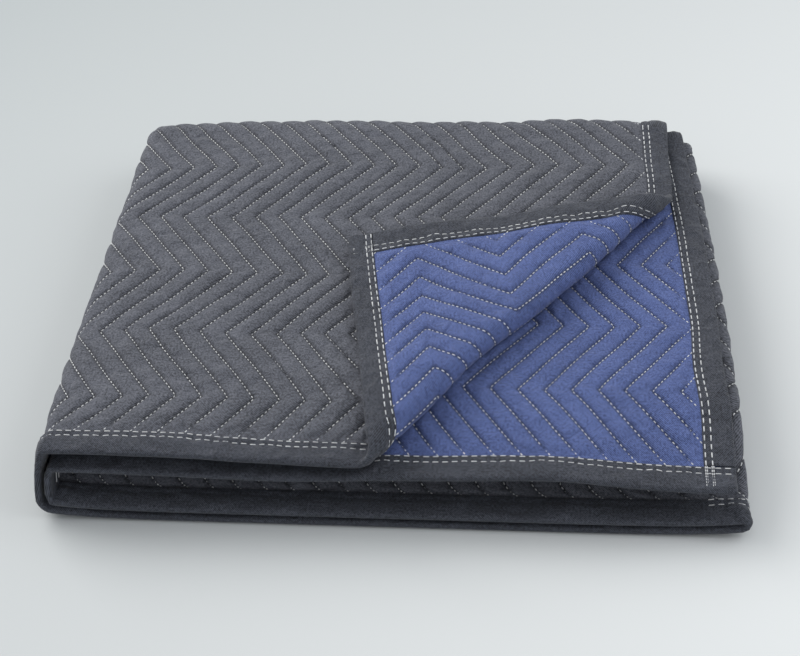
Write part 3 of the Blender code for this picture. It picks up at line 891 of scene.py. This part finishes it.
def cloth_material(name, colors, painted_seam_shade):
    """Matt woven cloth: twill, slubs, drawn-up puckers, patches of wear and a soft sheen, with painted shade
    along the stitched grooves when painted_seam_shade is set.
    """
    material = bpy.data.materials.new(name)
    material.use_nodes = True
    shader = material.node_tree.nodes["Principled BSDF"]
    shader.inputs["Roughness"].default_value = 0.85
    shader.inputs["Sheen Weight"].default_value = 0.12
    shader.inputs["Sheen Roughness"].default_value = 0.4
    shader.inputs["Specular IOR Level"].default_value = 0.35
    add, link = node_maker(material)
    place = add("ShaderNodeUVMap", uv_map="cloth")
    weave = add("ShaderNodeTexWave", bands_direction="DIAGONAL", Distortion=0.6)
    weave.inputs["Scale"].default_value = 2.0 * math.pi / (WAVE_BANDS * TWILL)
    weave.inputs["Detail"].default_value = 1.0
    weave.inputs["Detail Scale"].default_value = 1.5
    grain = add("ShaderNodeTexNoise", Scale=620.0, Detail=2.0)
    slub = add("ShaderNodeTexNoise", Scale=130.0, Detail=3.0)
    patch = add("ShaderNodeTexNoise", Scale=24.0, Detail=4.0)
    pucker = add("ShaderNodeTexNoise", Scale=95.0, Detail=0.6, Distortion=0.8)
    for node in (weave, grain, slub, patch, pucker):
        link(place, "UV", node, "Vector")

    def mixed(parts):
        total = None
        for node, output, share in parts:
            scaled = add("ShaderNodeMath", operation="MULTIPLY")
            scaled.inputs[1].default_value = share
            link(node, output, scaled, 0)
            if total is None:
                total = scaled
                continue
            summed = add("ShaderNodeMath", operation="ADD")
            link(total, 0, summed, 0)
            link(scaled, 0, summed, 1)
            total = summed
        return total

    tint = mixed(((weave, "Fac", 0.45), (grain, "Fac", 1.20), (slub, "Fac", 0.25), (patch, "Fac", 0.28)))
    ramp = add("ShaderNodeMapRange")
    ramp.inputs["From Min"].default_value = 0.74
    ramp.inputs["From Max"].default_value = 1.44
    link(tint, 0, ramp, "Value")
    blend = add("ShaderNodeMixRGB", Color1=(*colors[0], 1.0), Color2=(*colors[1], 1.0))
    link(ramp, "Result", blend, "Fac")
    # Painted shade: the cloth's colour darkens towards the stitched lines, where the crown attribute is low
    if painted_seam_shade:
        crown = add("ShaderNodeAttribute", attribute_name="crown")
        shade = add("ShaderNodeMapRange")
        shade.inputs["From Max"].default_value = 0.75
        shade.inputs["To Min"].default_value = SEAM_SHADE
        link(crown, "Fac", shade, "Value")
        dark = add("ShaderNodeMixRGB", blend_type="MULTIPLY", Fac=1.0)
        link(blend, "Color", dark, "Color1")
        link(shade, "Result", dark, "Color2")
        blend = dark
    link(blend, "Color", shader, "Base Color")
    weave_relief = mixed(((weave, "Fac", 0.5), (grain, "Fac", 1.0)))
    crinkle = add("ShaderNodeBump", Strength=0.75, Distance=PUCKER_RELIEF)
    link(pucker, "Fac", crinkle, "Height")
    relief = add("ShaderNodeBump", Strength=0.6, Distance=TWILL_RELIEF)
    link(weave_relief, 0, relief, "Height")
    link(crinkle, "Normal", relief, "Normal")
    link(relief, "Normal", shader, "Normal")
    return material


def thread_material(name, colors):
    """Soft white thread with slight soiling along its length."""
    material = bpy.data.materials.new(name)
    material.use_nodes = True
    shader = material.node_tree.nodes["Principled BSDF"]
    shader.inputs["Roughness"].default_value = 0.6
    shader.inputs["Sheen Weight"].default_value = 0.3
    add, link = node_maker(material)
    place = add("ShaderNodeTexCoord")
    soil = add("ShaderNodeTexNoise", Scale=60.0, Detail=3.0)
    twist = add("ShaderNodeTexNoise", Scale=2600.0, Detail=1.0)
    link(place, "Object", soil, "Vector")
    link(place, "Object", twist, "Vector")
    ramp = add("ShaderNodeValToRGB")
    ramp.color_ramp.elements[0].position = 0.35
    ramp.color_ramp.elements[0].color = (*colors[0], 1.0)
    ramp.color_ramp.elements[1].position = 0.65
    ramp.color_ramp.elements[1].color = (*colors[1], 1.0)
    link(soil, "Fac", ramp, "Fac")
    link(ramp, "Color", shader, "Base Color")
    relief = add("ShaderNodeBump", Strength=0.4, Distance=0.0002)
    link(twist, "Fac", relief, "Height")
    link(relief, "Normal", shader, "Normal")
    return material


def dress(obj, material, replaced=None):
    """Give a piece its material and body, and hide the frame's part that it stands for."""
    obj.data.materials.clear()
    obj.data.materials.append(material)
    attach(obj, "root")
    if replaced:
        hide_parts(replaced)


def zones(backs, strides):
    """Zones of a face from the column and row strides of each stretch of its width."""
    return [(across, back, *pair) for across, pairs in strides for back, pair in zip(backs, pairs)]


def make_quilts():
    """Both quilted faces, fine where they show and coarse where the stack hides them."""
    outer = (TOP_END - OUTER_MARGINS[0], UNDER_START + OUTER_MARGINS[1])
    right = (RIGHT_FOLD - RIGHT_MARGIN, LOWER_BLACK + RIGHT_MARGIN)
    inner = (INNER_FOLD - INNER_MARGINS[0], UNDER_BLUE + INNER_MARGINS[1])
    low = (outer[1], right[0])
    middle = (right[1], inner[0])
    mouth = (0.0, MOUTH_DEPTH)
    rear = (UPPER_RUN, UPPER_RUN + TURN_RUN)
    lower = (UPPER_RUN + TURN_RUN, WHOLE_RUN)
    fine = ((1, 1), (1, 1), (1, 1), (1, 1))
    buried = ((3, 3), (9, 9), (9, 6), (9, 9))
    quilt_black = make_face("quilt_black", 1.0, zones((mouth, (MOUTH_DEPTH, UPPER_RUN), rear, lower), (
        ((0.0, outer[0]), ((1, 1), (1, 1), (1, 1), (3, 3))),
        (outer, fine),
        (low, buried),
        (right, fine),
        (middle, ((1, 1), (9, 9), (9, 6), (9, 9))),
        (inner, ((1, 1), (2, 9), (2, 6), (2, 9))),
        ((inner[1], WHOLE_WIDTH), buried),
    )))
    open_back = (MOUTH_DEPTH, OPEN_DEPTH)
    covered = (OPEN_DEPTH, UPPER_RUN)
    turn = ((1, 2), (1, 6), (1, 6), (1, 4), (1, 6))
    beside = ((2, 2), (6, 6), (6, 6), (9, 6), (9, 9))
    buried = ((3, 3), (9, 9), (9, 9), (9, 6), (9, 9))
    shown = WHOLE_WIDTH - SHOWN_WIDTH
    quilt_blue = make_face("quilt_blue", -1.0, zones((mouth, open_back, covered, rear, lower), (
        ((0.0, FLAP_WIDTH), ((1, 1), (1, 1), (3, 3), (9, 6), (9, 9))),
        ((FLAP_WIDTH, outer[0]), beside),
        (outer, turn),
        (low, buried),
        (right, turn),
        (middle, buried),
        ((inner[0], UNDER_BLUE), turn),
        ((UNDER_BLUE, shown), beside),
        ((shown, WHOLE_WIDTH), ((1, 1), (1, 1), (1, 1), (1, 2), (3, 6))),
    )))
    return quilt_black, quilt_blue


def whole_stations(steps):
    """Places along a tape that runs the whole width, closer together at both its ends."""
    far = WHOLE_WIDTH - TAPE_END_LENGTH
    end_step, step = steps
    return stations((
        (0.0, TAPE_END_LENGTH, end_step),
        (TAPE_END_LENGTH, far, step),
        (far, WHOLE_WIDTH, end_step),
    ))


def make_tapes(material):
    """The four lengths of binding tape."""
    butt = TAPE_WIDTH + TAPE_GAP
    upper_step, turn_step, lower_step = SIDE_TAPE_STEPS
    back = stations((
        (butt, UPPER_RUN, upper_step),
        (UPPER_RUN, UPPER_RUN + TURN_RUN, turn_step),
        (UPPER_RUN + TURN_RUN, WHOLE_RUN - butt, lower_step),
    ))
    front = whole_stations(FRONT_TAPE_STEPS)
    hidden = whole_stations(HIDDEN_TAPE_STEPS)
    tapes = []
    for edge, places in (("front", front), ("end", hidden), ("top_side", back), ("under_side", back)):
        obj = make_tape("tape_" + edge, edge, places)
        dress(obj, material, "binding_" + edge)
        tapes.append(obj)
    return tapes


def make_threads(material):
    """The quilting thread of each face and the binding thread, where they show."""
    black_windows = (
        (TAPE_WIDTH, UNDER_START + OUTER_THREAD, 0.0, WHOLE_RUN),
        (RIGHT_FOLD - RIGHT_MARGIN, LOWER_BLACK + RIGHT_MARGIN, 0.0, WHOLE_RUN),
        (LOWER_BLACK, UNDER_BLUE, 0.0, MOUTH_DEPTH),
    )
    blue_windows = (
        (TAPE_WIDTH, FLAP_THREAD[0], 0.0, FLAP_THREAD[1]),
        (UNDER_BLUE + UNDER_THREAD[0], WHOLE_WIDTH, 0.0, UNDER_THREAD[1]),
    )
    threads = []
    for name, side, windows in (("black", 1.0, black_windows), ("blue", -1.0, blue_windows)):
        stitches = quilting_stitches(side, windows)
        threads.append(thread_mesh("quilting_thread_" + name, *stitches, STITCH_RADIUS, QUILTING_BEAD))
    stitches = all_tape_stitches()
    threads.append(thread_mesh("binding_thread", *stitches, TAPE_STITCH_RADIUS, BINDING_BEAD))
    for obj in threads:
        dress(obj, material)
    return threads


def build_blanket():
    """Every visible piece of the blanket."""
    black = cloth_material("black quilt cloth", BLACK_COLORS, True)
    blue = cloth_material("blue quilt cloth", BLUE_COLORS, True)
    tape = cloth_material("binding tape weave", TAPE_COLORS, False)
    thread = thread_material("white thread", THREAD_COLORS)
    quilt_black, quilt_blue = make_quilts()
    dress(quilt_black, black, "panel_black")
    dress(quilt_blue, blue, "panel_blue")
    tapes = make_tapes(tape)
    threads = make_threads(thread)


def build_floor():
    """Pale floor, with painted shade that darkens it behind at the left."""
    bpy.ops.mesh.primitive_plane_add(size=FLOOR_SIZE, location=(0.0, 0.0, cad_box[0][2] - FLOOR_GAP))
    floor = bpy.context.object
    floor.name = "floor"
    material = bpy.data.materials.new("pale floor")
    material.use_nodes = True
    shader = material.node_tree.nodes["Principled BSDF"]
    shader.inputs["Roughness"].default_value = 0.8
    shader.inputs["Specular IOR Level"].default_value = 0.2
    add, link = node_maker(material)
    place = add("ShaderNodeTexCoord")
    # Painted shade: the floor's colour runs from dark behind at the left to pale in front at the right
    slope = add("ShaderNodeVectorMath", operation="DOT_PRODUCT")
    slope.inputs[1].default_value = FLOOR_SHADE_SLOPE
    link(place, "Object", slope, 0)
    paint = add("ShaderNodeMapRange")
    paint.inputs["From Min"].default_value = -1.0
    link(slope, "Value", paint, "Value")
    dark, pale = FLOOR_COLORS
    blend = add("ShaderNodeMixRGB", Color1=(*dark, 1.0), Color2=(*pale, 1.0))
    link(paint, "Result", blend, "Fac")
    link(blend, "Color", shader, "Base Color")
    floor.data.materials.append(material)


def add_area(name, location, energy, color):
    """Soft square light aimed at the stack."""
    data = bpy.data.lights.new(name, "AREA")
    data.size = LIGHT_SIZE
    data.energy = energy
    data.color = color
    light = bpy.data.objects.new(name, data)
    light.location = location
    aim = -np.array(location)
    pitch = math.atan2(math.hypot(aim[0], aim[1]), -aim[2])
    light.rotation_euler = (pitch, 0.0, math.atan2(-aim[0], aim[1]))
    bpy.context.scene.collection.objects.link(light)


def build_light():
    """Even pale surroundings, a broad light from the rear left and a weaker one from the right."""
    world = bpy.data.worlds.new("studio")
    world.use_nodes = True
    background = world.node_tree.nodes["Background"]
    background.inputs["Color"].default_value = WORLD_COLOR
    background.inputs["Strength"].default_value = WORLD_STRENGTH
    bpy.context.scene.world = world
    bpy.context.scene.view_settings.view_transform = "Standard"
    for name, location, energy, color in LIGHTS:
        add_area(name, location, energy, color)


def build_camera():
    """The camera, a long lens above the open front."""
    data = bpy.data.cameras.new("camera")
    data.sensor_width = SENSOR_WIDTH
    data.lens = CAMERA_FOCAL
    camera = bpy.data.objects.new("camera", data)
    camera.location = CAMERA_PLACE
    camera.rotation_euler = Euler(CAMERA_TURN, "XYZ")
    bpy.context.scene.collection.objects.link(camera)
    bpy.context.scene.camera = camera


build_blanket()
build_floor()
build_light()
build_camera()
bpy.context.view_layer.update()
